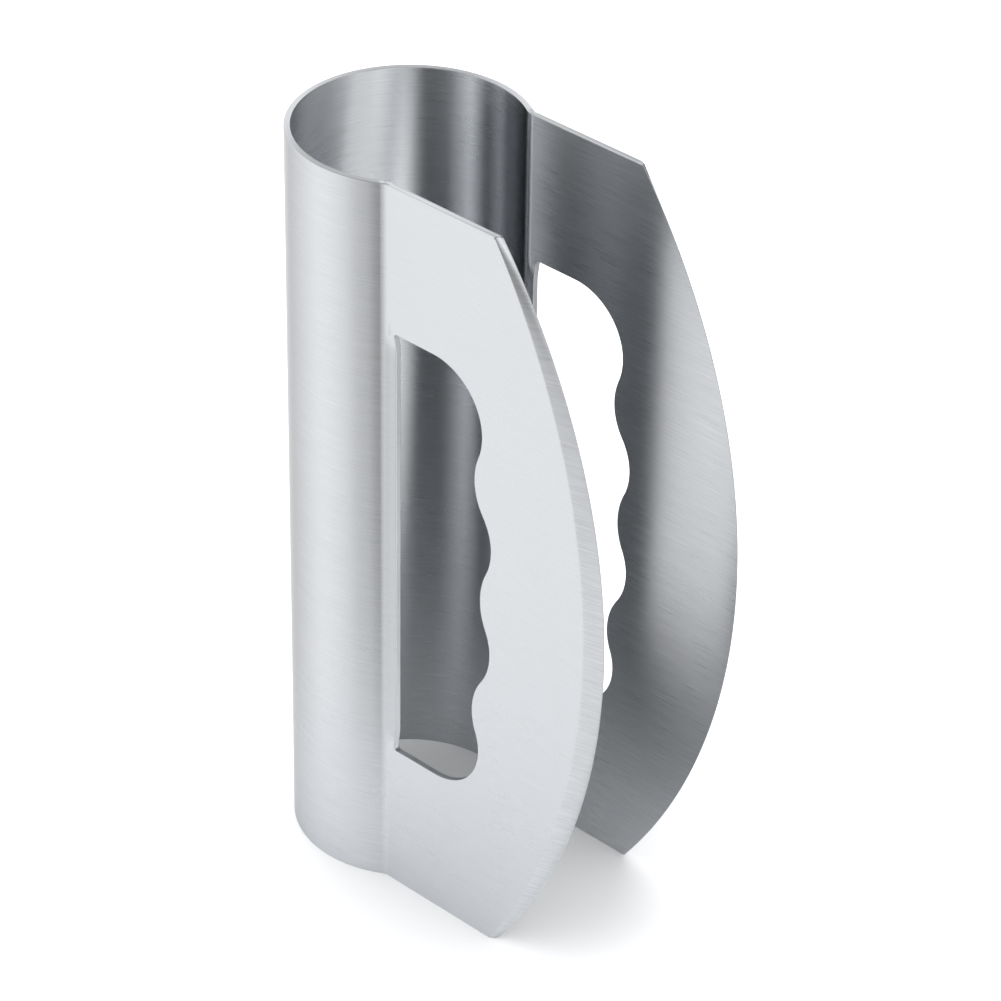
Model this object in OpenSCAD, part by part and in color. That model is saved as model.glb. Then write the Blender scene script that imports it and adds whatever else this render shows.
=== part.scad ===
// Double-blade chopper, bent from one brushed steel sheet: a rolled tube grip whose two
// sides turn back through small reverse bends into a pair of parallel blades.
// Millimetres. +Z runs along the tube, +X from the tube towards the cutting edges, and
// +Y across the blades. The chopper stands on its end, with the origin below the middle
// of its outline.

/* [Sheet] */
// Thickness of the steel sheet
sheet_t = 1.2; // [0.8:0.1:2]
// Length of the tube and of both blades, from end to end
length = 150; // [135:1:200]

/* [Tube grip] */
// Outside diameter of the tube
tube_d = 44.7; // [42:0.1:60]
// Radius of the reverse bend into each blade, on its outer face
neck_r = 3.5; // [2:0.1:4.5]

/* [Blades] */
// Distance across the two blades, over their outer faces
blade_span = 37.4; // [33:0.1:39]
// Width of each blade at its widest, from its bend line to the cutting edge
blade_w = 51.75; // [46:0.25:70]
// Width of each blade at its two ends, while it is widest at mid length
blade_end_w = 26.65; // [25:0.05:31]
// How far above mid length the cutting edge reaches furthest
belly_offset = -1; // [-4:0.5:4]
// Radius of the blade's two tips
tip_r = 1; // [0.5:0.1:2]

/* [Ground bevel] */
// Width of the bevel at the furthest point of the edge
bevel_mid_w = 4.1; // [3:0.1:6]
// Width of the bevel at the tips
bevel_end_w = 0.8; // [0.6:0.1:2.5]
// Thickness left at the cutting edge
edge_land = 0.15; // [0.1:0.05:0.4]

/* [Finger windows] */
// Width of the strip between the bend line and the window's straight side
window_strip = 1.25; // [1:0.05:4]
// Width of the window, from its straight side to the middle ridge between the fingers
window_w = 21.5; // [18:0.1:28]
// How far the two outer ridges stand into the window past the middle ridge
outer_ridge_step = 1.7; // [0:0.1:2.5]
// Depth of the two middle finger hollows, from the middle ridge
middle_hollow_depth = 2.5; // [1.5:0.1:4]
// Depth of the two end finger hollows, from the outer ridges
end_hollow_depth = 1.7; // [1:0.1:3]
// Radius of the middle ridge
middle_ridge_r = 14.3; // [11:0.1:16]
// Radius of the two outer ridges
outer_ridge_r = 12.7; // [10:0.1:14]
// Radius of the two middle hollows
middle_hollow_r = 11.8; // [10:0.1:13]
// Radius of the window's upper end, which is also the upper end hollow
upper_end_r = 12; // [10:0.1:13]
// Radius of the window's lower end, which is also the lower end hollow
lower_end_r = 10.8; // [9:0.1:13]
// Radius of the window's two corners at the straight side
near_corner_r = 0.8; // [0.4:0.1:2]

/* [Hidden] */
$fn = 180;
// Cuts run this far past the faces that they cut through
over = 1;
// Colour of the brushed sheet
steel = [0.78, 0.79, 0.8];

tube_r = tube_d / 2;
outer_y = blade_span / 2;
inner_y = outer_y - sheet_t;

// The reverse bend touches the tube from outside and the blade's outer face at the bend line
neck_y = outer_y + neck_r;
neck_x = sqrt(pow(tube_r + neck_r, 2) - pow(neck_y, 2));
neck_angle = atan2(neck_x, neck_y);
// The tube's axis, seen from the middle of the outline
axis_x = (tube_r - neck_x - blade_w) / 2;

// Cutting edge and the line where the bevel meets the outer face, as circles whose centres
// are given from the bend line
mid_z = length / 2;
belly_z = mid_z + belly_offset;
function arc_radius(sagitta, half_chord) =
    (pow(sagitta, 2) + pow(half_chord, 2)) / (2 * sagitta);
edge_r = arc_radius(blade_w - blade_end_w, mid_z);
edge_x = blade_w - edge_r;
tip_slope = asin(mid_z / edge_r);
bevel_sagitta = blade_w - bevel_mid_w - blade_end_w + bevel_end_w / cos(tip_slope);
bevel_r = arc_radius(bevel_sagitta, mid_z);
bevel_x = blade_w - bevel_mid_w - bevel_r;
// How much the bevel's radius and centre move for each millimetre into the sheet
bevel_depth = sheet_t - edge_land;
radius_rate = (edge_r - bevel_r) / bevel_depth;
centre_rate = (edge_x - bevel_x) / bevel_depth;

// Widths of the window at its other ridge and at its hollows
outer_ridge = window_w - outer_ridge_step;
middle_hollow = window_w + middle_hollow_depth;
end_hollow = outer_ridge + end_hollow_depth;
// Each ridge touches the hollows beside it, so their heights follow from their radii
function rise(hollow, hollow_r, ridge, ridge_r) =
    sqrt(pow(hollow_r + ridge_r, 2) - pow(hollow_r + ridge_r - hollow + ridge, 2));
hollow_rise = rise(middle_hollow, middle_hollow_r, window_w, middle_ridge_r);
ridge_rise = hollow_rise + rise(middle_hollow, middle_hollow_r, outer_ridge, outer_ridge_r);
upper_rise = ridge_rise + rise(end_hollow, upper_end_r, outer_ridge, outer_ridge_r);
lower_rise = ridge_rise + rise(end_hollow, lower_end_r, outer_ridge, outer_ridge_r);
window_top = mid_z + upper_rise + upper_end_r;
window_base = mid_z - lower_rise - lower_end_r;

// Circles on the window's side of the scalloped line, as x from the straight side, z and radius
hollows = [
    [end_hollow - lower_end_r, mid_z - lower_rise, lower_end_r],
    [middle_hollow - middle_hollow_r, mid_z - hollow_rise, middle_hollow_r],
    [middle_hollow - middle_hollow_r, mid_z + hollow_rise, middle_hollow_r],
    [end_hollow - upper_end_r, mid_z + upper_rise, upper_end_r]
];
// Circles on the blade's side of it, in the same order from the base up
ridges = [
    [outer_ridge + outer_ridge_r, mid_z - ridge_rise, outer_ridge_r],
    [window_w + middle_ridge_r, mid_z, middle_ridge_r],
    [outer_ridge + outer_ridge_r, mid_z + ridge_rise, outer_ridge_r]
];

// Point where two circles touch each other from outside
function touch(a, b) = let (share = a[2] / (a[2] + b[2]))
    [a[0] + share * (b[0] - a[0]), a[1] + share * (b[1] - a[1])];

module disc(c) {
    translate([c[0], c[1]]) circle(r = c[2]);
}

// Straight side and flat ends of the window, rounded where they meet
module window_frame() {
    width = max(middle_hollow, end_hollow) + over;
    height = window_top - window_base;
    translate([near_corner_r, window_base]) square([width - near_corner_r, height]);
    translate([0, window_base + near_corner_r]) square([width, height - 2 * near_corner_r]);
    for (z = [window_base + near_corner_r, window_top - near_corner_r])
        disc([near_corner_r, z, near_corner_r]);
}

// Finger window: hollows added to a frame and ridges taken from it
module window_outline() {
    intersection() {
        window_frame();
        difference() {
            union() {
                polygon(concat(
                    [[-over, window_base], [hollows[0][0], window_base]],
                    [for (i = [0:2], hollow = [hollows[i], hollows[i + 1]]) touch(hollow, ridges[i])],
                    [[hollows[3][0], window_top], [-over, window_top]]
                ));
                for (c = hollows) disc(c);
            }
            for (c = ridges) disc(c);
        }
    }
}

// What a tip loses to its rounding, between the end of the blade and the cutting edge; side is
// -1 at the base and 1 at the top
module tip_waste(side) {
    centre_z = (side < 0 ? 0 : length) - side * tip_r;
    drop = centre_z - belly_z;
    centre_x = edge_x + sqrt(pow(edge_r - tip_r, 2) - pow(drop, 2));
    centre = [centre_x, centre_z];
    to_end = [0, 2 * side * tip_r];
    to_edge = 2 * tip_r / (edge_r - tip_r) * [centre_x - edge_x, drop];
    difference() {
        polygon([centre, centre + to_end, centre + to_end + to_edge, centre + to_edge]);
        disc([centre_x, centre_z, tip_r]);
    }
}

module blade_outline() {
    difference() {
        intersection() {
            square([blade_w + over, length]);
            disc([edge_x, belly_z, edge_r]);
        }
        for (side = [-1, 1]) tip_waste(side);
        translate([window_strip, 0]) window_outline();
    }
}

// Solid under the bevel: a slanting cone from the bevel's line on the outer face to the edge
module bevel_envelope() {
    margin = over / 10;
    slant = [
        [1, 0, -centre_rate, bevel_x + centre_rate * sheet_t],
        [0, 1, 0, belly_z],
        [0, 0, 1, 0],
        [0, 0, 0, 1]
    ];
    multmatrix(slant) translate([0, 0, -margin])
        cylinder(
            h = sheet_t + 2 * margin,
            r1 = bevel_r + radius_rate * (sheet_t + margin),
            r2 = bevel_r - radius_rate * margin
        );
}

// Blade lying flat, inner face on z = 0 and bend line on x = 0
module flat_blade() {
    intersection() {
        linear_extrude(height = sheet_t) blade_outline();
        bevel_envelope();
    }
}

// Places a piece measured from the tube's axis; side is -1 at the front and 1 at the rear
module place(side) {
    translate([axis_x, 0, 0]) mirror([0, side > 0 ? 1 : 0, 0]) children();
}

module blade(side) {
    color(steel) place(side) translate([neck_x, -inner_y, 0]) rotate([90, 0, 0]) flat_blade();
}

module neck(side) {
    color(steel) place(side) translate([neck_x, -neck_y, 0]) rotate([0, 0, 90])
        rotate_extrude(angle = neck_angle) translate([neck_r, 0]) square([sheet_t, length]);
}

module grip_tube() {
    color(steel) place(-1) rotate([0, 0, 90 - neck_angle])
        rotate_extrude(angle = 180 + 2 * neck_angle)
            translate([tube_r - sheet_t, 0]) square([sheet_t, length]);
}

module front_neck() {
    neck(-1);
}

module rear_neck() {
    neck(1);
}

module front_blade() {
    blade(-1);
}

module rear_blade() {
    blade(1);
}

grip_tube();
front_neck();
rear_neck();
front_blade();
rear_blade();
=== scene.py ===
"""Looks of a double-blade chopper: one sheet of brushed steel, rolled into a tube grip whose
sides turn back into two parallel blades with finger windows and ground edges.

The sheet is cut at its bend lines into five pieces that meet face to face. Everything is in
metres. +Z runs along the tube, +X towards the cutting edges, and -Y towards the front blade.
"""

import math

import bpy
import numpy as np
from bpy.props import FloatProperty, FloatVectorProperty, PointerProperty
from mathutils import Matrix, Vector


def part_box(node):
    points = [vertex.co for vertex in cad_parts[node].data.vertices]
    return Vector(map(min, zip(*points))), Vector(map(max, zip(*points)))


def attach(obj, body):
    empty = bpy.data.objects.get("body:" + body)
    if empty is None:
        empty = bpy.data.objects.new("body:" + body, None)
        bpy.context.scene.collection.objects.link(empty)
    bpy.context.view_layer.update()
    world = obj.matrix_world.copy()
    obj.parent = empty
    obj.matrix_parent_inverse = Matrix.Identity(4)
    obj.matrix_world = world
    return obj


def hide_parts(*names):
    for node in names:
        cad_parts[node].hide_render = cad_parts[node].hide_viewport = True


bl_info = {
    "name": "Double-blade chopper",
    "version": (1, 0, 0),
    "blender": (4, 5, 0),
    "location": "3D Viewport > Sidebar > Chopper",
    "description": "Builds the chopper's steel pieces, their finish and a plain studio",
    "category": "Object",
}

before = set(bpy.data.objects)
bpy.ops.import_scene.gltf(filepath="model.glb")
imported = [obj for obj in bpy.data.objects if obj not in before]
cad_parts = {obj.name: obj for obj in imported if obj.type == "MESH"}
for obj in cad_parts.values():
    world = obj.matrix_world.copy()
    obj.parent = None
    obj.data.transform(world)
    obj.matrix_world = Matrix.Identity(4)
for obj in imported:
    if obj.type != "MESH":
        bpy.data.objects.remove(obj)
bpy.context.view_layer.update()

MM = 0.001
QUARTER = math.pi / 2
FLAT_MAP = "sheet_flat"

# A curve strays from its circle by no more than the sag, and turns by no more than the step
ARC_SAG = 0.002 * MM
ARC_STEP = math.radians(8)
# Steps along the blade's ends, along its bend line and up a neck
END_STEPS = 30
BEND_STEPS = 60
NECK_STEPS = 90
# Rows across a rounded corner, and across the blade's face from past the bevel to the window
CORNER_ROWS = 5
FACE_ROWS = 15
# Rows near the bevel's line, as shares of the way to it from the outline
BEVEL_ROWS = (0.2, 0.4, 0.6, 0.8, 0.9, 0.95, 1, 1.05, 1.1, 1.2)
# The window's end circles pass from the scalloped side to its ends at this angle
END_ANGLE = math.radians(62)
# Rounding left on the cutting edge, as a share of the sheet's, and how soon it sets in
KEEN_SHARE = 0.3
KEEN_RISE = 4
# The strip's push dies away past it over this many times its width
FADE_SPAN = 4

# Brush lines as length, width and weight in the streaks: hairs, lines and broad bands
HAIR = (8 * MM, 0.2 * MM, 1.7)
LINE = (20 * MM, 0.4 * MM, 0.6)
BAND = (50 * MM, 3 * MM, 0.25)
# Uneven clouds as size across and weights in the tone and the roughness
CLOUD = (20 * MM, 0.06, 0.04)
# Scratches as length and width, their turn, and the noise levels between which one sets in
SCRATCH = (18 * MM, 0.35 * MM)
SCRATCH_TURN = math.radians(24)
SCRATCH_STOPS = ((0.74, 0), (0.8, 1))
SCRATCH_TONE = 0.05
# Darkest and lightest tone of the steel, as shares of its colour
TONES = (0.8, 1.2)
STREAK_ROUGHNESS = 0.05
BUMP_STRENGTH = 0.03
BUMP_DEPTH = 0.01 * MM
SCRATCH_DEPTH = 0.6
EDGE_TINT = 0.75

SENSOR = 36
CLIP = (0.01, 30)
FLOOR_SIDES = 96
# Height of the upward direction at which the surround starts to turn into sky, and ends
SKY_START = 0.45
SKY_FULL = 0.95

TUBE_LOW, TUBE_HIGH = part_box("grip_tube")
BLADE_LOW, BLADE_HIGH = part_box("front_blade")
LENGTH = TUBE_HIGH.z - TUBE_LOW.z
TUBE_R = (TUBE_HIGH.y - TUBE_LOW.y) / 2
AXIS_X = TUBE_LOW.x + TUBE_R
SHEET_T = BLADE_HIGH.y - BLADE_LOW.y
OUTER_Y = -BLADE_LOW.y
BEND_X = BLADE_LOW.x
BLADE_W = BLADE_HIGH.x - BLADE_LOW.x

# The reverse bend touches the tube from outside and the blade's outer face at the bend line
NECK_X = BEND_X - AXIS_X
NECK_R = (NECK_X**2 + OUTER_Y**2 - TUBE_R**2) / (2 * (TUBE_R - OUTER_Y))
NECK_TURN = math.atan2(NECK_X, OUTER_Y + NECK_R)
TUBE_HALF_TURN = QUARTER + NECK_TURN
TUBE_HALF_WALK = (TUBE_R - SHEET_T / 2) * TUBE_HALF_TURN
NECK_WALK = (NECK_R + SHEET_T / 2) * NECK_TURN


def millimetres(value, name, description):
    """A length property, given in millimetres and kept in metres."""
    return FloatProperty(
        name=name, description=description, default=value * MM, unit="LENGTH", precision=5
    )


def degrees(value, name, description):
    """An angle property, given in degrees and kept in radians."""
    return FloatProperty(
        name=name, description=description, default=math.radians(value), subtype="ANGLE"
    )


class ChopperSheet(bpy.types.PropertyGroup):
    """Sizes of the sheet, its bends and the blade's outline."""

    edge_round: millimetres(0.13, "Edge rounding", "Radius left on the sheet's edges by deburring")
    strip_lean: degrees(17, "Strip lean", "How far the strip beside each window leans inwards")
    lean_start: millimetres(1.2, "Lean start", "How far before the bend line the lean sets in")
    lean_reach: millimetres(4, "Lean reach", "How far inside the window's ends the lean is full")
    end_width: millimetres(26.65, "End width", "Width of each blade at its two ends")
    belly_offset: millimetres(-1, "Belly offset", "Height of the widest point above mid length")
    tip_r: millimetres(1, "Tip radius", "Radius of the blade's two tips")


class ChopperBevel(bpy.types.PropertyGroup):
    """Sizes of the bevel ground on each blade's outer face."""

    mid_width: millimetres(4.1, "Middle width", "Width of the bevel at the widest point")
    end_width: millimetres(0.8, "End width", "Width of the bevel at the tips")
    land: millimetres(0.15, "Edge land", "Thickness left at the cutting edge")
    blend: FloatProperty(
        name="Blend", description="Softness of the bevel's line, as a share of its width",
        default=0.04, min=0.005, max=0.3,
    )


class ChopperWindow(bpy.types.PropertyGroup):
    """Sizes of the finger window in each blade."""

    strip: millimetres(1.25, "Strip", "Width of the strip between bend line and window")
    width: millimetres(21.5, "Width", "Width of the window at the middle ridge")
    ridge_step: millimetres(1.7, "Ridge step", "How far the outer ridges stand further in")
    middle_depth: millimetres(2.5, "Middle hollows", "Depth of the two middle finger hollows")
    end_depth: millimetres(1.7, "End hollows", "Depth of the two end finger hollows")
    middle_ridge_r: millimetres(14.3, "Middle ridge", "Radius of the middle ridge")
    outer_ridge_r: millimetres(12.7, "Outer ridges", "Radius of the two outer ridges")
    middle_hollow_r: millimetres(11.8, "Middle hollow radius", "Radius of the middle hollows")
    upper_end_r: millimetres(12, "Upper end", "Radius of the window's upper end")
    lower_end_r: millimetres(10.8, "Lower end", "Radius of the window's lower end")
    corner_r: millimetres(0.8, "Corners", "Radius of the corners at the straight side")


class ChopperFinish(bpy.types.PropertyGroup):
    """Colour and brushing of the steel."""

    steel: FloatVectorProperty(
        name="Steel", description="Colour of the brushed steel", subtype="COLOR",
        default=(0.605, 0.62, 0.64), min=0, max=1,
    )
    roughness: FloatProperty(
        name="Roughness", description="Mean roughness of the brushed faces", default=0.29,
        subtype="FACTOR", min=0, max=1,
    )
    brushing: FloatProperty(
        name="Brushing", description="How much wider reflections smear across the brush lines",
        default=1.0, subtype="FACTOR", min=0, max=1,
    )
    smear_tilt: degrees(18, "Smear tilt", "Turn of the smear away from straight across the sheet")


class ChopperStage(bpy.types.PropertyGroup):
    """Camera, floor and light."""

    azimuth: degrees(43.227, "Azimuth", "Turn of the camera from straight in front")
    elevation: degrees(33.243, "Elevation", "Height of the camera above the horizon")
    roll: degrees(0.917, "Roll", "Turn of the camera about its own view")
    distance: millimetres(787.9, "Distance", "From the aimed point to the camera")
    aim_right: millimetres(16.851, "Aim right", "Aimed point, to the right of the tube's axis")
    aim_up: millimetres(71.069, "Aim up", "Aimed point, above the floor")
    focal: FloatProperty(
        name="Focal length", description="Focal length on a 36 mm sensor", default=152.52,
        unit="CAMERA",
    )
    floor_colour: FloatVectorProperty(
        name="Floor", description="Colour of the floor", subtype="COLOR",
        default=(0.792, 0.8, 0.81), min=0, max=1,
    )
    floor_r: FloatProperty(
        name="Floor radius", description="Radius of the floor", default=8, unit="LENGTH"
    )
    floor_glow: FloatProperty(
        name="Floor glow", description="Light that lifts the floor round the chopper to white",
        default=0.35, min=0,
    )
    near_floor: millimetres(46, "Near floor", "How far out the steel reflects the floor itself")
    far_floor: millimetres(105, "Far floor", "How far out it reflects the lit surround only")
    near_white: millimetres(26, "Near white", "Where the floor's own white glow sets in")
    far_white: millimetres(70, "Far white", "Where the floor's own white glow is full")
    lamp: FloatProperty(
        name="Lamp", description="Power of the soft lamp that lights the floor", default=160,
        unit="POWER",
    )
    lamp_size: FloatProperty(
        name="Lamp size", description="Side of the soft lamp", default=6, unit="LENGTH"
    )
    lamp_height: FloatProperty(
        name="Lamp height", description="Height of the soft lamp over the floor", default=2,
        unit="LENGTH",
    )
    sky: FloatProperty(
        name="Sky", description="Level of the surround above the horizon", default=0.3, min=0
    )
    key: FloatProperty(
        name="Key", description="Level of the brightest part of the surround", default=1.8, min=0
    )


# The surround below the horizon, as azimuth from straight in front and share of its full level.
# Turning right is positive. The camera stands at 43 degrees.
SURROUND = (
    (-180, 0.18), (-154, 0.76), (-122, 0.75), (-100, 0.57), (-76, 0.66), (-52, 0.76), (-40, 0.74),
    (-28, 0.68), (-17, 0.6), (-8, 0.48), (-1, 0.43), (6, 0.4), (13, 0.22), (30, 0.24),
    (42, 0.66), (55, 1), (69, 0.76), (82, 0.5), (100, 0.94), (122, 0.78), (140, 0.0),
)


def turned(angles):
    """Unit vectors at the given angles, as (cos, sin) rows."""
    return np.stack([np.cos(angles), np.sin(angles)], axis=-1)


def arc(centre, radius, start, end, inside_out=False):
    """Points and normals along a circle from one angle to another, in steps short enough to
    stay close to it.

    The normal points away from the centre, or towards it where inside_out is set."""
    step = min(2 * math.acos(1 - ARC_SAG / radius), ARC_STEP)
    away = turned(np.linspace(start, end, max(2, math.ceil(abs(end - start) / step)) + 1))
    return np.asarray(centre) + radius * away, -away if inside_out else away


def line(start, end, normal, steps=1):
    """Evenly spaced points and a fixed normal along a straight line."""
    share = np.linspace(0, 1, steps + 1)[:, None]
    points = (1 - share) * np.asarray(start, float) + share * np.asarray(end, float)
    return points, np.tile(np.asarray(normal, float), (steps + 1, 1))


def walked(points):
    """Distance walked along a row of points, up to each of them."""
    steps = np.linalg.norm(np.diff(points, axis=0), axis=1)
    return np.concatenate([[0], np.cumsum(steps)])


def joined(*runs):
    """Several runs of points and normals as one, without the point each run starts on."""
    points = [runs[0][0]] + [run[0][1:] for run in runs[1:]]
    normals = [runs[0][1]] + [run[1][1:] for run in runs[1:]]
    return np.concatenate(points), np.concatenate(normals)


def at_shares(run, shares):
    """Points and unit normals of a run at the given shares of its walked length."""
    points, normals = run
    share = walked(points) / walked(points)[-1]
    place = np.stack([np.interp(shares, share, points[:, k]) for k in (0, 1)], axis=-1)
    facing = np.stack([np.interp(shares, share, normals[:, k]) for k in (0, 1)], axis=-1)
    return place, facing / np.linalg.norm(facing, axis=-1, keepdims=True)


def smooth_step(value):
    """0 below 0, 1 above 1, and 3v^2 - 2v^3 between."""
    held = np.clip(value, 0, 1)
    return held * held * (3 - 2 * held)


def smooth_step_slope(value):
    """How fast smooth_step grows: 6v - 6v^2 between 0 and 1, and nothing outside."""
    held = np.clip(value, 0, 1)
    return 6 * held * (1 - held)


def bearing(start, end):
    """Angle of the line from one circle's centre to another's."""
    return math.atan2(end[1] - start[1], end[0] - start[0])


def window_circles(sizes):
    """Hollows inside the window and ridges outside it, from the base up, as x from the bend
    line, z and radius.

    Each ridge touches the hollows beside it, so the height between their centres is the third
    side of a right triangle whose long side is the sum of their radii."""
    mid = LENGTH / 2
    outer_ridge = sizes.width - sizes.ridge_step
    middle = sizes.width + sizes.middle_depth
    end = outer_ridge + sizes.end_depth

    def rise(hollow, hollow_r, ridge, ridge_r):
        """Height between the centres of a hollow and the ridge that it touches."""
        reach = hollow_r + ridge_r
        return math.sqrt(reach**2 - (reach - hollow + ridge) ** 2)

    hollow_rise = rise(middle, sizes.middle_hollow_r, sizes.width, sizes.middle_ridge_r)
    ridge_rise = hollow_rise + rise(
        middle, sizes.middle_hollow_r, outer_ridge, sizes.outer_ridge_r
    )
    low_rise = ridge_rise + rise(end, sizes.lower_end_r, outer_ridge, sizes.outer_ridge_r)
    high_rise = ridge_rise + rise(end, sizes.upper_end_r, outer_ridge, sizes.outer_ridge_r)
    near = sizes.strip
    middle_x = near + middle - sizes.middle_hollow_r
    hollows = [
        (near + end - sizes.lower_end_r, mid - low_rise, sizes.lower_end_r),
        (middle_x, mid - hollow_rise, sizes.middle_hollow_r),
        (middle_x, mid + hollow_rise, sizes.middle_hollow_r),
        (near + end - sizes.upper_end_r, mid + high_rise, sizes.upper_end_r),
    ]
    ridges = [
        (near + outer_ridge + sizes.outer_ridge_r, mid - ridge_rise, sizes.outer_ridge_r),
        (near + sizes.width + sizes.middle_ridge_r, mid, sizes.middle_ridge_r),
        (near + outer_ridge + sizes.outer_ridge_r, mid + ridge_rise, sizes.outer_ridge_r),
    ]
    return hollows, ridges


def window_runs(sizes):
    """The window's outline as four runs: along its top end, down its scalloped side, back
    along its base and up its straight side. Normals point into the window."""
    hollows, ridges = window_circles(sizes)
    near, corner = sizes.strip, sizes.corner_r
    low, high = hollows[0], hollows[3]
    base = low[1] - low[2]
    top = high[1] + high[2]

    def hollow(circle, start, end):
        """Part of a circle inside the window."""
        return arc(circle[:2], circle[2], start, end, inside_out=True)

    def ridge(circle, above, below):
        """Part of a ridge's circle, from the hollow above it round to the one below."""
        return arc(
            circle[:2], circle[2], bearing(circle, above), bearing(circle, below) + 2 * math.pi
        )

    upper = joined(
        hollow((near + corner, top - corner, corner), 2 * QUARTER, QUARTER),
        line((near + corner, top), (high[0], top), (0, -1)),
        hollow(high, QUARTER, END_ANGLE),
    )
    scallops = [hollow(high, END_ANGLE, bearing(high, ridges[2]))]
    for k in (2, 1, 0):
        scallops.append(ridge(ridges[k], hollows[k + 1], hollows[k]))
        end = -END_ANGLE if k == 0 else bearing(hollows[k], ridges[k - 1])
        scallops.append(hollow(hollows[k], bearing(hollows[k], ridges[k]), end))
    lower = joined(
        hollow(low, -END_ANGLE, -QUARTER),
        line((low[0], base), (near + corner, base), (0, 1)),
        hollow((near + corner, base + corner, corner), -QUARTER, -2 * QUARTER),
    )
    side = line((near, base + corner), (near, top - corner), (1, 0))
    return upper, joined(*scallops), lower, side


def round_arc(sagitta, half_chord):
    """Radius of the circle that rises by the sagitta over the half chord."""
    return (sagitta**2 + half_chord**2) / (2 * sagitta)


def edge_circle(sheet):
    """The cutting edge as x from the bend line, z and radius."""
    radius = round_arc(BLADE_W - sheet.end_width, LENGTH / 2)
    return BLADE_W - radius, LENGTH / 2 + sheet.belly_offset, radius


def bevel_circle(sheet, bevel):
    """The line where bevel and outer face meet, as x from the bend line, z and radius."""
    slope = math.asin(LENGTH / 2 / edge_circle(sheet)[2])
    sagitta = BLADE_W - bevel.mid_width - sheet.end_width + bevel.end_width / math.cos(slope)
    radius = round_arc(sagitta, LENGTH / 2)
    return BLADE_W - bevel.mid_width - radius, LENGTH / 2 + sheet.belly_offset, radius


def outline_runs(sheet):
    """The blade's outline as four runs: along its top, down the cutting edge with a rounded
    tip at each end, back along its base and up the bend line. Normals point outwards."""
    edge_x, edge_z, edge_r = edge_circle(sheet)
    tip = sheet.tip_r

    def tip_centre(z):
        """Centre of the tip's circle, which touches the edge's circle from inside."""
        return edge_x + math.sqrt((edge_r - tip) ** 2 - (z - edge_z) ** 2), z

    high, low = tip_centre(LENGTH - tip), tip_centre(tip)
    start = bearing((edge_x, edge_z), high)
    end = bearing((edge_x, edge_z), low)
    upper = line((0, LENGTH), (high[0], LENGTH), (0, 1), END_STEPS)
    edge = joined(
        arc(high, tip, QUARTER, start),
        arc((edge_x, edge_z), edge_r, start, end),
        arc(low, tip, end, -QUARTER),
    )
    lower = line((low[0], 0), (0, 0), (0, -1), END_STEPS)
    inset = sheet.edge_round
    side = line((0, inset), (0, LENGTH - inset), (-1, 0), BEND_STEPS)
    return upper, edge, lower, side


def bevel_share(x, z, sheet, bevel):
    """How far down the bevel a point lies, 0 on its line and 1 at the edge, and how fast that
    grows along x and z.

    The bevel is a slanting cone: the circle at share s has its centre and radius the share s
    of the way from the bevel's circle to the edge's, so s solves a quadratic equation."""
    edge_x, mid, edge_r = edge_circle(sheet)
    line_x, _, line_r = bevel_circle(sheet, bevel)
    move, grow = edge_x - line_x, edge_r - line_r
    across, up = x - line_x, z - mid
    half = across * move + line_r * grow
    rest = across**2 + up**2 - line_r**2
    share = rest / (half + np.sqrt(np.maximum(half**2 - (move**2 - grow**2) * rest, 0)))
    scale = move * (across - share * move) + grow * (line_r + share * grow)
    return share, (across - share * move) / scale, up / scale


def ground_thickness(x, z, sheet, bevel):
    """Share of the sheet's thickness left by the bevel, and how fast it grows along x and z.

    The depth ground away is the bevel's share, softly held at 0 above its line: half of the
    sum of s and the root of s^2 + blend^2."""
    share, along_x, along_z = bevel_share(x, z, sheet, bevel)
    root = np.sqrt(share**2 + bevel.blend**2)
    depth = 1 - bevel.land / SHEET_T
    held = (share + root) / 2
    slope = (1 + share / root) / 2
    return 1 - depth * held, -depth * slope * along_x, -depth * slope * along_z


def strip_shift(x, z, sheet, window):
    """How far the sheet beside a window is pushed inwards, and how fast that grows along x and z.

    The slope sets in smoothly before the bend line and stays as far as the window, and past
    it the push dies away. It grows from nothing at the window's ends to full beside it."""
    hollows, _ = window_circles(window)
    base = hollows[0][1] - hollows[0][2]
    top = hollows[3][1] + hollows[3][2]
    slope = math.tan(sheet.strip_lean)
    start = sheet.lean_start
    ramp = (x + start) / start
    held = np.clip(ramp, 0, 1)
    # Smooth slope, whose integral over the ramp is v^3 - v^4 / 2
    push = start * (held**3 - held**4 / 2) + np.maximum(x, 0)
    span = FADE_SPAN * window.strip
    away = (x - window.strip) / span
    fade = 1 - smooth_step(away)
    fade_slope = -smooth_step_slope(away) / span
    across = slope * push * fade
    across_slope = slope * (smooth_step(ramp) * fade + push * fade_slope)
    reach = sheet.lean_reach
    low, high = (z - base) / reach, (top - z) / reach
    along = smooth_step(low) * smooth_step(high)
    along_slope = (
        smooth_step_slope(low) * smooth_step(high) - smooth_step(low) * smooth_step_slope(high)
    ) / reach
    return across * along, across_slope * along, across * along_slope


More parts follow.
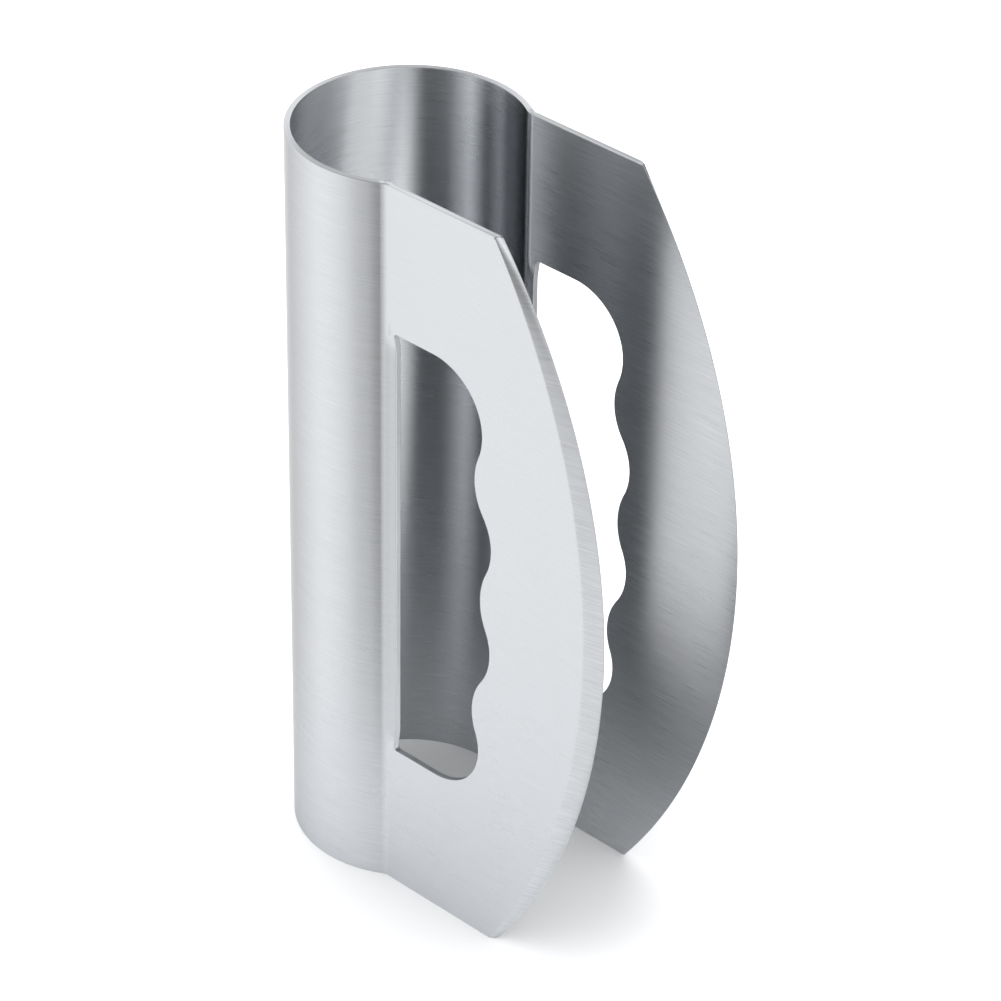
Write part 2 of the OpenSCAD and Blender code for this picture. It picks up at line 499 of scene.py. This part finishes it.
def add_mesh(name, points, faces, normals, flat, finish, materials):
    """A mesh object with a normal and a flat-sheet place at each corner of its faces.

    The faces come as arrays of corner indexes, the normals and places as one row for each of
    those corners. A face whose winding disagrees with its normals is turned round."""
    corners, corner_normals, corner_flat, sizes = [], [], [], []
    at = 0
    for block in faces:
        count, size = block.shape
        own = slice(at, at + count * size)
        at += count * size
        facing = normals[own].reshape(count, size, 3)
        place = flat[own].reshape(count, size, 2)
        # The product of two lines across a face points out of it or into it
        half = (size + 1) // 2
        one = points[block[:, half]] - points[block[:, 0]]
        two = points[block[:, half + 1 if size > 3 else 2]] - points[block[:, 1]]
        away = np.einsum("ij,ij->i", np.cross(one, two), facing.sum(axis=1))
        turn = away < 0
        block = np.where(turn[:, None], block[:, ::-1], block)
        facing = np.where(turn[:, None, None], facing[:, ::-1], facing)
        place = np.where(turn[:, None, None], place[:, ::-1], place)
        corners.append(block.ravel())
        corner_normals.append(facing.reshape(-1, 3))
        corner_flat.append(place.reshape(-1, 2))
        sizes.append(np.full(count, size))
    used, corner = np.unique(np.concatenate(corners), return_inverse=True)
    sizes = np.concatenate(sizes)
    mesh = bpy.data.meshes.new(name)
    mesh.vertices.add(len(used))
    mesh.vertices.foreach_set("co", points[used].astype(np.float32).ravel())
    mesh.loops.add(len(corner))
    mesh.loops.foreach_set("vertex_index", corner.astype(np.int32).ravel())
    mesh.polygons.add(len(sizes))
    starts = np.concatenate([[0], np.cumsum(sizes)[:-1]])
    mesh.polygons.foreach_set("loop_start", starts.astype(np.int32))
    mesh.polygons.foreach_set("material_index", finish.astype(np.int32))
    mesh.update(calc_edges=True)
    mesh.polygons.foreach_set("use_smooth", np.ones(len(sizes), bool))
    unit = np.concatenate(corner_normals)
    unit = unit / np.linalg.norm(unit, axis=1, keepdims=True)
    mesh.normals_split_custom_set(unit.tolist())
    layer = mesh.uv_layers.new(name=FLAT_MAP)
    layer.uv.foreach_set("vector", np.concatenate(corner_flat).astype(np.float32).ravel())
    for material in materials:
        mesh.materials.append(material)
    mesh.update()
    piece = bpy.data.objects.new(name, mesh)
    bpy.context.scene.collection.objects.link(piece)
    return piece


def settle(piece, *nodes):
    """Rides a finished piece on the one body and lets it stand for its CAD nodes."""
    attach(piece, "root")
    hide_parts(*nodes)


def sheet_section(radius, steps):
    """The sheet's cut end as a closed run in depth below its outer face and height, with
    rounded corners. The depth part of each normal points inwards."""
    near, far = radius, SHEET_T - radius
    low, high = radius, LENGTH - radius
    return joined(
        line((0, low), (0, high), (-1, 0), steps),
        arc((near, high), radius, 2 * QUARTER, QUARTER),
        line((near, LENGTH), (far, LENGTH), (0, 1)),
        arc((far, high), radius, QUARTER, 0),
        line((SHEET_T, high), (SHEET_T, low), (1, 0), steps),
        arc((far, low), radius, 0, -QUARTER),
        line((far, 0), (near, 0), (0, -1)),
        arc((near, low), radius, -QUARTER, -2 * QUARTER),
    )


def bent_sheet(name, path, walk, sheet, window, materials, z_steps=1, lean_side=0):
    """A bent length of the sheet: its cut end carried along the plan path of its outer face.

    A corner of the section at depth d and height z lands on the path's point, moved by d
    against the path's normal, at height z. The two ends are closed with flat caps."""
    plan, out = path
    section, section_normal = sheet_section(sheet.edge_round, z_steps)
    around = walked(section)
    places, ring = len(plan), len(section) - 1
    depth, height = section[:, 0], section[:, 1]
    ground = plan[:, None] - depth[None, :, None] * out[:, None]
    facing = -section_normal[None, :, :1] * out[:, None]
    points = np.dstack([ground, np.broadcast_to(height, ground.shape[:2])])
    upward = np.broadcast_to(section_normal[:, 1], ground.shape[:2])
    normals = np.dstack([facing, upward])
    if lean_side:
        push, along_x, along_z = strip_shift(
            points[..., 0] - BEND_X, points[..., 2], sheet, window
        )
        outward = normals[..., 1] * lean_side
        points[..., 1] -= lean_side * push
        normals[..., 0] += along_x * outward
        normals[..., 2] += along_z * outward
    flat = np.dstack(np.broadcast_arrays(np.asarray(walk)[:, None], around[None, :]))

    step, turn = np.meshgrid(np.arange(places - 1), np.arange(ring), indexing="ij")
    step, turn = step.ravel(), turn.ravel()
    rows = np.stack([step, step, step + 1, step + 1], axis=1)
    marks = np.stack([turn, turn + 1, turn + 1, turn], axis=1)
    quads = rows * ring + marks % ring
    ends = np.stack([np.arange(ring), (places - 1) * ring + np.arange(ring)])
    tangent = plan[[1, -1]] - plan[[0, -2]]
    back = np.array([[-1], [1]]) * tangent / np.linalg.norm(tangent, axis=1, keepdims=True)
    cap_normals = np.repeat(np.hstack([back, np.zeros((2, 1))]), ring, axis=0)
    cap_flat = np.tile(section[:ring], (2, 1))
    return add_mesh(
        name,
        points[:, :ring].reshape(-1, 3),
        [quads, ends],
        np.concatenate([normals[rows, marks].reshape(-1, 3), cap_normals]),
        np.concatenate([flat[rows, marks].reshape(-1, 2), cap_flat]),
        np.zeros(len(quads) + 2),
        materials,
    )


def blade_columns(sheet, window):
    """Matching places on the window's outline and the blade's outline, stretch by stretch, as
    arrays of inner points and normals, outer points and normals, and the edge's rounding,
    with the index of the first column along the bend line."""
    stretches = []
    for kind, inner, outer in zip(
        ("top", "edge", "base", "bend"), window_runs(window), outline_runs(sheet)
    ):
        inner_share = walked(inner[0]) / walked(inner[0])[-1]
        outer_share = walked(outer[0]) / walked(outer[0])[-1]
        shares = np.unique(np.round(np.concatenate([inner_share, outer_share]), 5))
        hole, hole_normal = at_shares(inner, shares)
        rim, rim_normal = at_shares(outer, shares)
        keep = slice(1, -1) if kind == "bend" else slice(0, None if kind == "base" else -1)
        sharp = 1 - np.abs(rim_normal[:, 1]) if kind == "edge" else np.zeros(len(shares))
        rounding = sheet.edge_round * (1 - (1 - KEEN_SHARE) * smooth_step(sharp * KEEN_RISE))
        if kind == "bend":
            rounding = rounding * 0
        parts = (hole, hole_normal, rim, rim_normal, rounding)
        stretches.append([part[keep] for part in parts])
    columns = [np.concatenate(parts) for parts in zip(*stretches)]
    return columns, sum(len(stretch[0]) for stretch in stretches[:3])


def blade_grid(sheet, bevel, window):
    """Plan places, depths and plain normals of a blade's closed surface, one column for each
    place round the window and one row for each place round the sheet's section.

    A column leaves the window's wall, rounds its outer corner, crosses the outer face to the
    outline, goes down the edge and comes back along the inner face. Rows lie close together
    on both sides of the bevel's line."""
    (hole, hole_n, rim, rim_n, rounding), bend_start = blade_columns(sheet, window)
    bend = np.linspace(0, QUARTER, CORNER_ROWS)[:, None]
    curl, fall = np.cos(bend), np.sin(bend)
    radius = sheet.edge_round

    hole_in = hole - radius * hole_n
    rim_in = rim - rounding[:, None] * rim_n
    reach = hole_in - rim_in
    length = np.linalg.norm(reach, axis=1)
    along = reach / length[:, None]

    # Distance from the outline to the bevel's line, along each column
    line_x, line_z, line_r = bevel_circle(sheet, bevel)
    arm = rim_in - (line_x, line_z)
    ahead = np.einsum("ij,ij->i", arm, along)
    rest = np.maximum(np.einsum("ij,ij->i", arm, arm) - line_r**2, 0)
    to_line = -ahead - np.sqrt(np.maximum(ahead**2 - rest, 0))
    to_line = np.maximum(to_line, window.strip / 3)
    near = to_line[None] * np.array(BEVEL_ROWS)[:, None]
    far = near[-1] + (length - near[-1]) * np.linspace(0, 1, FACE_ROWS)[1:-1, None]
    travel = np.concatenate([near, far])

    def rows(plan, depth, normal, inward):
        """Rows of places, with depth and the inward part of the normal spread over them."""
        shape = plan.shape[:2]
        return (
            plan,
            np.broadcast_to(depth, shape),
            np.dstack([normal[..., 0], np.broadcast_to(inward, shape), normal[..., 1]]),
        )

    def corner(edge, normal, rounding, curl, fall, inner):
        """Rows over a rounded corner: a quarter circle of the rounding's radius between the
        wall, whose normal is given, and the outer or inner face."""
        depth = rounding[None] * (1 - fall)
        return rows(
            edge[None] - (rounding[None] * (1 - curl))[..., None] * normal[None],
            SHEET_T - depth if inner else depth,
            curl[..., None] * normal[None],
            -fall if inner else fall,
        )

    face = rim_in[None] + travel[..., None] * along[None]
    still = np.zeros_like(face)
    even = np.full(len(hole), radius)
    blocks = [
        corner(hole, hole_n, even, curl, fall, False),
        rows(face[::-1], 0, still, 1),
        corner(rim, rim_n, rounding, curl[::-1], fall[::-1], False),
        corner(rim, rim_n, rounding, curl, fall, True),
        rows(face, SHEET_T, still, -1),
        corner(hole, hole_n, even, curl[::-1], fall[::-1], True),
    ]
    plan, depth, normal = (np.concatenate(part) for part in zip(*blocks))
    sizes = [len(block[0]) for block in blocks]
    return plan, depth, normal, sizes, bend_start


def blade(name, side, settings, materials):
    """One blade: a plain plate with a window, thinned towards the edge and pushed inwards
    beside the window. Side is -1 at the front and 1 at the rear.

    A point at height w above the inner face moves to w times the share of thickness left,
    less the push. Normals follow by the inverse transpose of that map's slopes."""
    sheet, bevel, window = settings
    plan, depth, plain, sizes, bend_start = blade_grid(sheet, bevel, window)
    x, z = plan[..., 0], plan[..., 1]
    left, left_x, left_z = ground_thickness(x, z, sheet, bevel)
    push, push_x, push_z = strip_shift(x, z, sheet, window)
    above = SHEET_T - depth
    out = OUTER_Y - SHEET_T + above * left - push
    points = np.dstack([BEND_X + x, side * out, z])
    outward = plain[..., 1] / left
    normals = np.dstack([
        plain[..., 0] - (above * left_x - push_x) * outward,
        side * outward,
        plain[..., 2] - (above * left_z - push_z) * outward,
    ])

    ring, columns = x.shape
    ends = np.cumsum(sizes)
    row, column = np.meshgrid(np.arange(ring), np.arange(columns), indexing="ij")
    row, column = row.ravel(), column.ravel()
    # Along the bend line the rim is left open, for the flat cap
    rim_row = (row >= ends[1]) & (row < ends[3] - 1)
    keep = ~(rim_row & (column >= bend_start - 1))
    row, column, rim_row = row[keep], column[keep], rim_row[keep]
    rows = np.stack([row, row, row + 1, row + 1], axis=1)
    marks = np.stack([column, column + 1, column + 1, column], axis=1)
    over_rows, over_marks = rows % ring, marks % columns
    quads = over_rows * columns + over_marks

    bend = np.concatenate([[bend_start - 1], np.arange(bend_start, columns), [0]])
    outer_row, inner_row = ends[1], ends[3] - 1
    down = np.arange(outer_row + 1, inner_row)
    cap = np.concatenate([
        outer_row * columns + bend,
        down * columns,
        inner_row * columns + bend[::-1],
        down[::-1] * columns + bend_start - 1,
    ])[None]

    lane = side * (TUBE_HALF_WALK + NECK_WALK + x)
    outer_flat = np.dstack([lane, z])
    inner_flat = np.dstack([lane, 2 * LENGTH + SHEET_T - z])
    round_flat = np.dstack(np.broadcast_arrays(z + x, 3 * LENGTH + depth))
    flat = outer_flat[over_rows, over_marks]
    flat = np.where((row >= ends[3] - 1)[:, None, None], inner_flat[over_rows, over_marks], flat)
    walls = rim_row | (row < sizes[0] // 2) | (row >= ring - 1 - sizes[5] // 2)
    flat = np.where(walls[:, None, None], round_flat[over_rows, over_marks], flat)

    middle = plan[over_rows, over_marks].mean(axis=1)
    share, _, _ = bevel_share(middle[:, 0], middle[:, 1], sheet, bevel)
    ground = (share > 0) & (row >= sizes[0] - 1) & (row < ends[3] - 1)
    finish = np.append(ground.astype(int), 0)
    cap_normals = np.tile([-1.0, 0, 0], (cap.size, 1))
    cap_flat = points.reshape(-1, 3)[cap[0], 1:]
    return add_mesh(
        name,
        points.reshape(-1, 3),
        [quads, cap],
        np.concatenate([normals[over_rows, over_marks].reshape(-1, 3), cap_normals]),
        np.concatenate([flat.reshape(-1, 2), cap_flat]),
        finish,
        materials,
    )


class Wire:
    """One output of a shader node, on which arithmetic adds Math nodes."""

    def __init__(self, shading, socket):
        self.shading = shading
        self.socket = socket

    def maths(self, operation, *values):
        """The result of one Math node, fed with the given values in order."""
        return self.shading.node(
            "ShaderNodeMath", {"operation": operation}, dict(enumerate(values))
        )

    def __add__(self, other):
        return self.maths("ADD", self, other)

    def __sub__(self, other):
        return self.maths("SUBTRACT", self, other)

    def __rsub__(self, other):
        return self.maths("SUBTRACT", other, self)

    def __mul__(self, other):
        return self.maths("MULTIPLY", self, other)

    def __truediv__(self, other):
        return self.maths("DIVIDE", self, other)

    __radd__ = __add__
    __rmul__ = __mul__


class Shading:
    """A material's or the world's node tree."""

    def __init__(self, owner):
        owner.use_nodes = True
        self.tree = owner.node_tree
        self.tree.nodes.clear()

    def node(self, kind, settings=None, values=None, output=0):
        """Adds a node, sets it up, fills or links its sockets and returns one output."""
        made = self.tree.nodes.new(kind)
        for name, value in (settings or {}).items():
            if name == "stops":
                self.colour_stops(made.color_ramp, value)
            else:
                setattr(made, name, value)
        for name, value in (values or {}).items():
            if isinstance(value, Wire):
                self.tree.links.new(value.socket, made.inputs[name])
            else:
                made.inputs[name].default_value = value
        return Wire(self, made.outputs[output]) if made.outputs else None

    def colour_stops(self, ramp, stops):
        """Puts the given (position, grey) stops on a colour ramp."""
        while len(ramp.elements) < len(stops):
            ramp.elements.new(0.5)
        for element, (position, grey) in zip(ramp.elements, stops):
            element.position = position
            element.color = (grey, grey, grey, 1)

    def mix(self, share, one, two):
        """A colour between two others."""
        return self.node(
            "ShaderNodeMix", {"data_type": "RGBA"}, {0: share, 6: one, 7: two}, output=2
        )

    def noise(self, place, along, across, detail):
        """Soft noise between 0 and 1, drawn out to a size along and across the brush lines."""
        stretched = self.node(
            "ShaderNodeVectorMath", {"operation": "DIVIDE"}, {0: place, 1: (along, across, 1)}
        )
        return self.node(
            "ShaderNodeTexNoise", {"noise_dimensions": "3D"},
            {"Vector": stretched, "Scale": 1, "Detail": detail, "Roughness": 0.5},
        )


def brushed(name, finish, contrast, grain, painted_light_level):
    """Brushed steel: noise drawn out along the brush lines, at three widths, moves the colour,
    the roughness and a shallow bump. Crossing scratches are few and faint.

    Contrast is the weight of the streaks in the tone, grain widens the hairs and lines, and the
    last multiplies the colour as a painted light level: below 1 it paints shade on the steel and
    above 1 it paints light."""
    material = bpy.data.materials.new(name)
    shading = Shading(material)
    place = shading.node("ShaderNodeUVMap", {"uv_map": FLAT_MAP})
    hair = shading.noise(place, HAIR[0], HAIR[1] * grain, 2)
    fine = shading.noise(place, LINE[0], LINE[1] * grain, 2)
    band = shading.noise(place, BAND[0], BAND[1] * grain, 1)
    cloud = shading.noise(place, CLOUD[0], CLOUD[0], 2)
    crossing = shading.node(
        "ShaderNodeMapping", {"vector_type": "POINT"},
        {"Vector": place, "Rotation": (0, 0, SCRATCH_TURN)},
    )
    scratch = shading.node(
        "ShaderNodeValToRGB", {"stops": SCRATCH_STOPS},
        {"Fac": shading.noise(crossing, *SCRATCH, 1)},
    )
    streak = (hair - 0.5) * HAIR[2] + (fine - 0.5) * LINE[2] + (band - 0.5) * BAND[2]
    tone = 0.5 + contrast * streak + (cloud - 0.5) * CLOUD[1] - scratch * SCRATCH_TONE
    # Both tones are scaled by the painted light level: painted shade below 1, painted light above
    # 1
    dark, light = (
        (*(channel * level * painted_light_level for channel in finish.steel), 1) for level in TONES
    )
    rough = finish.roughness + streak * STREAK_ROUGHNESS + (cloud - 0.5) * CLOUD[2]
    bump = shading.node("ShaderNodeBump", None, {
        "Strength": BUMP_STRENGTH, "Distance": BUMP_DEPTH,
        "Height": hair + fine - scratch * SCRATCH_DEPTH,
    })
    # A quarter of a turn lays the smear across the brush lines, and the tilt turns it on
    surface = shading.node("ShaderNodeBsdfPrincipled", None, {
        "Base Color": shading.mix(tone, dark, light),
        "Metallic": 1.0,
        "Roughness": rough,
        "Normal": bump,
        "Specular Tint": (EDGE_TINT, EDGE_TINT, EDGE_TINT, 1),
        "Anisotropic": finish.brushing,
        "Anisotropic Rotation": 0.25 + finish.smear_tilt / (2 * math.pi),
    })
    shading.node("ShaderNodeOutputMaterial", None, {"Surface": surface})
    material.diffuse_color = (*finish.steel, 1)
    return material


def steel(name, contrast, grain=1.0, painted_light_level=1.0):
    """The named steel, made once, its colour scaled by a painted light level."""
    return bpy.data.materials.get(name) or brushed(
        name, bpy.context.scene.chopper_finish, contrast, grain, painted_light_level
    )


def bend_steel():
    """The finish that tube and necks share."""
    return steel("brushed round the tube", 0.4)


class ChopperTube(bpy.types.Operator):
    """Rolls the tube that the hand holds"""

    bl_idname = "chopper.tube"
    bl_label = "Grip tube"

    def execute(self, context):
        scene = context.scene
        start = NECK_TURN - QUARTER
        path = arc((AXIS_X, 0), TUBE_R, start, start - 2 * TUBE_HALF_TURN)
        walk = np.linspace(-TUBE_HALF_WALK, TUBE_HALF_WALK, len(path[0]))
        piece = bent_sheet(
            "rolled_tube", path, walk, scene.chopper_sheet, scene.chopper_window,
            [bend_steel()],
        )
        settle(piece, "grip_tube")
        return {"FINISHED"}


class ChopperNecks(bpy.types.Operator):
    """Bends the sheet back from the tube into each blade"""

    bl_idname = "chopper.necks"
    bl_label = "Necks"

    def execute(self, context):
        scene = context.scene
        for side, place in ((-1, "front"), (1, "rear")):
            centre = (AXIS_X + NECK_X, side * (OUTER_Y + NECK_R))
            start = -side * (QUARTER + NECK_TURN)
            path = arc(centre, NECK_R, start, -side * QUARTER, inside_out=True)
            walk = side * np.linspace(
                TUBE_HALF_WALK, TUBE_HALF_WALK + NECK_WALK, len(path[0])
            )
            piece = bent_sheet(
                f"{place}_reverse_bend", path, walk, scene.chopper_sheet,
                scene.chopper_window, [bend_steel()], NECK_STEPS, side,
            )
            settle(piece, f"{place}_neck")
        return {"FINISHED"}


class ChopperBlades(bpy.types.Operator):
    """Cuts both blades with their windows and ground edges"""

    bl_idname = "chopper.blades"
    bl_label = "Blades"

    def execute(self, context):
        scene = context.scene
        settings = (scene.chopper_sheet, scene.chopper_bevel, scene.chopper_window)
        # The rear blade's steel is painted 0.95 times as light as the front's: painted shade on
        # the same steel
        for side, place, contrast, painted_light_level in ((-1, "front", 0.2, 1.0), (1, "rear", 0.7, 0.95)):
            materials = [
                steel(f"brushed along the {place} blade", contrast, painted_light_level=painted_light_level),
                # The ground bevel's steel is painted 1.07 times as light: painted light on the
                # bevel
                steel("ground across the edge, painted lighter", 0.6, grain=2.0, painted_light_level=1.07),
            ]
            settle(blade(f"{place}_plate", side, settings, materials), f"{place}_blade")
        return {"FINISHED"}


class ChopperStudio(bpy.types.Operator):
    """Sets up the camera, the floor and the light"""

    bl_idname = "chopper.studio"
    bl_label = "Studio"

    def execute(self, context):
        stage = context.scene.chopper_stage
        self.camera(context, stage)
        self.floor(context, stage)
        self.light(context, stage)
        return {"FINISHED"}

    def camera(self, context, stage):
        """Places the camera back along its azimuth and elevation from the aimed point."""
        turn, rise, roll = stage.azimuth, stage.elevation, stage.roll
        right = Vector((math.cos(turn), math.sin(turn), 0))
        back = Vector((
            math.sin(turn) * math.cos(rise), -math.cos(turn) * math.cos(rise), math.sin(rise)
        ))
        up = back.cross(right)
        across = math.cos(roll) * right + math.sin(roll) * up
        upward = back.cross(across)
        aim = Vector((AXIS_X, 0, stage.aim_up)) + stage.aim_right * right
        data = bpy.data.cameras.new("camera")
        data.sensor_width = SENSOR
        data.lens = stage.focal
        data.clip_start, data.clip_end = CLIP
        camera = bpy.data.objects.new("camera", data)
        frame_axes = Matrix((across, upward, back)).transposed()
        camera.matrix_world = Matrix.LocRotScale(
            aim + stage.distance * back, frame_axes.to_quaternion(), None
        )
        context.scene.collection.objects.link(camera)
        context.scene.camera = camera

    def floor(self, context, stage):
        """A round pale floor, lifted to white away from the chopper. Out there it is clear to
        what the steel reflects, which is the surround."""
        turns = turned(np.linspace(0, 4 * QUARTER, FLOOR_SIDES + 1)[:-1])
        rim = np.hstack([turns * stage.floor_r, np.zeros((FLOOR_SIDES, 1))])
        mesh = bpy.data.meshes.new("floor")
        mesh.from_pydata(rim.tolist(), [], [list(range(FLOOR_SIDES))])
        floor = bpy.data.objects.new("floor", mesh)
        context.scene.collection.objects.link(floor)
        material = bpy.data.materials.new("pale floor")
        shading = Shading(material)
        matt = shading.node("ShaderNodeBsdfDiffuse", None, {"Color": (*stage.floor_colour, 1)})
        place = shading.node("ShaderNodeTexCoord", output="Object")
        out = shading.node("ShaderNodeVectorMath", {"operation": "LENGTH"}, {0: place}, output=1)
        far, white = (
            shading.node("ShaderNodeMapRange", {"interpolation_type": "SMOOTHSTEP"}, {
                "Value": out, "From Min": start, "From Max": end,
            })
            for start, end in (
                (stage.near_floor, stage.far_floor), (stage.near_white, stage.far_white)
            )
        )
        camera_ray = shading.node("ShaderNodeLightPath", output="Is Camera Ray")
        glow = shading.node("ShaderNodeEmission", None, {
            "Color": (1, 1, 1, 1), "Strength": camera_ray * white * stage.floor_glow,
        })
        both = shading.node("ShaderNodeAddShader", None, {0: matt, 1: glow})
        glossy_ray = shading.node("ShaderNodeLightPath", output="Is Glossy Ray")
        clear = shading.node("ShaderNodeBsdfTransparent")
        surface = shading.node(
            "ShaderNodeMixShader", None, {0: glossy_ray * far, 1: both, 2: clear}
        )
        shading.node("ShaderNodeOutputMaterial", None, {"Surface": surface})
        mesh.materials.append(material)

    def light(self, context, stage):
        """A soft lamp for the floor, and a surround that the steel reflects. Below the horizon
        the surround stands for the table, which is lit unevenly round the chopper."""
        lamp = bpy.data.lights.new("soft lamp", "AREA")
        lamp.energy = stage.lamp
        lamp.size = stage.lamp_size
        lamp_object = bpy.data.objects.new("soft lamp", lamp)
        lamp_object.location = (0, 0, stage.lamp_height)
        lamp_object.visible_glossy = False
        context.scene.collection.objects.link(lamp_object)
        world = bpy.data.worlds.new("surround")
        context.scene.world = world
        shading = Shading(world)
        towards = shading.node("ShaderNodeTexCoord", output="Generated")
        x, y, z = (
            shading.node("ShaderNodeSeparateXYZ", None, {0: towards}, output=k) for k in range(3)
        )
        azimuth = x.maths("ARCTAN2", x, 0 - y)
        stops = [((turn + 180) / 360, share) for turn, share in SURROUND]
        share = shading.node(
            "ShaderNodeValToRGB", {"stops": stops}, {"Fac": azimuth / (2 * math.pi) + 0.5}
        )
        below = share * stage.key
        above = shading.node("ShaderNodeMapRange", {"interpolation_type": "SMOOTHSTEP"}, {
            "Value": z, "From Min": SKY_START, "From Max": SKY_FULL,
        })
        level = below + above * (stage.sky - below)
        seen = shading.node("ShaderNodeLightPath", output="Is Camera Ray")
        strength = level + seen * (1 - level)
        glow = shading.node("ShaderNodeBackground", None, {
            "Color": (1, 1, 1, 1), "Strength": strength,
        })
        shading.node("ShaderNodeOutputWorld", None, {"Surface": glow})
        context.scene.view_settings.view_transform = "Standard"


class ChopperPanel(bpy.types.Panel):
    """Lists the chopper's pieces and its studio"""

    bl_idname = "VIEW3D_PT_chopper"
    bl_label = "Chopper"
    bl_space_type = "VIEW_3D"
    bl_region_type = "UI"
    bl_category = "Chopper"

    def draw(self, context):
        for operator in OPERATORS:
            self.layout.operator(operator.bl_idname)
        for group in GROUPS:
            settings = getattr(context.scene, group)
            self.layout.label(text=group.replace("_", " "))
            for name in GROUPS[group].__annotations__:
                self.layout.prop(settings, name)


GROUPS = {
    "chopper_sheet": ChopperSheet,
    "chopper_bevel": ChopperBevel,
    "chopper_window": ChopperWindow,
    "chopper_finish": ChopperFinish,
    "chopper_stage": ChopperStage,
}
OPERATORS = (ChopperTube, ChopperNecks, ChopperBlades, ChopperStudio)


def register():
    """Adds the settings, the operators and the panel."""
    for name, group in GROUPS.items():
        bpy.utils.register_class(group)
        setattr(bpy.types.Scene, name, PointerProperty(type=group))
    for kind in (*OPERATORS, ChopperPanel):
        bpy.utils.register_class(kind)


def unregister():
    """Takes them away again."""
    for kind in (ChopperPanel, *reversed(OPERATORS)):
        bpy.utils.unregister_class(kind)
    for name, group in reversed(GROUPS.items()):
        delattr(bpy.types.Scene, name)
        bpy.utils.unregister_class(group)


def main():
    """Builds everything in order."""
    register()
    bpy.ops.chopper.tube()
    bpy.ops.chopper.necks()
    bpy.ops.chopper.blades()
    bpy.ops.chopper.studio()


if __name__ == "__main__":
    main()
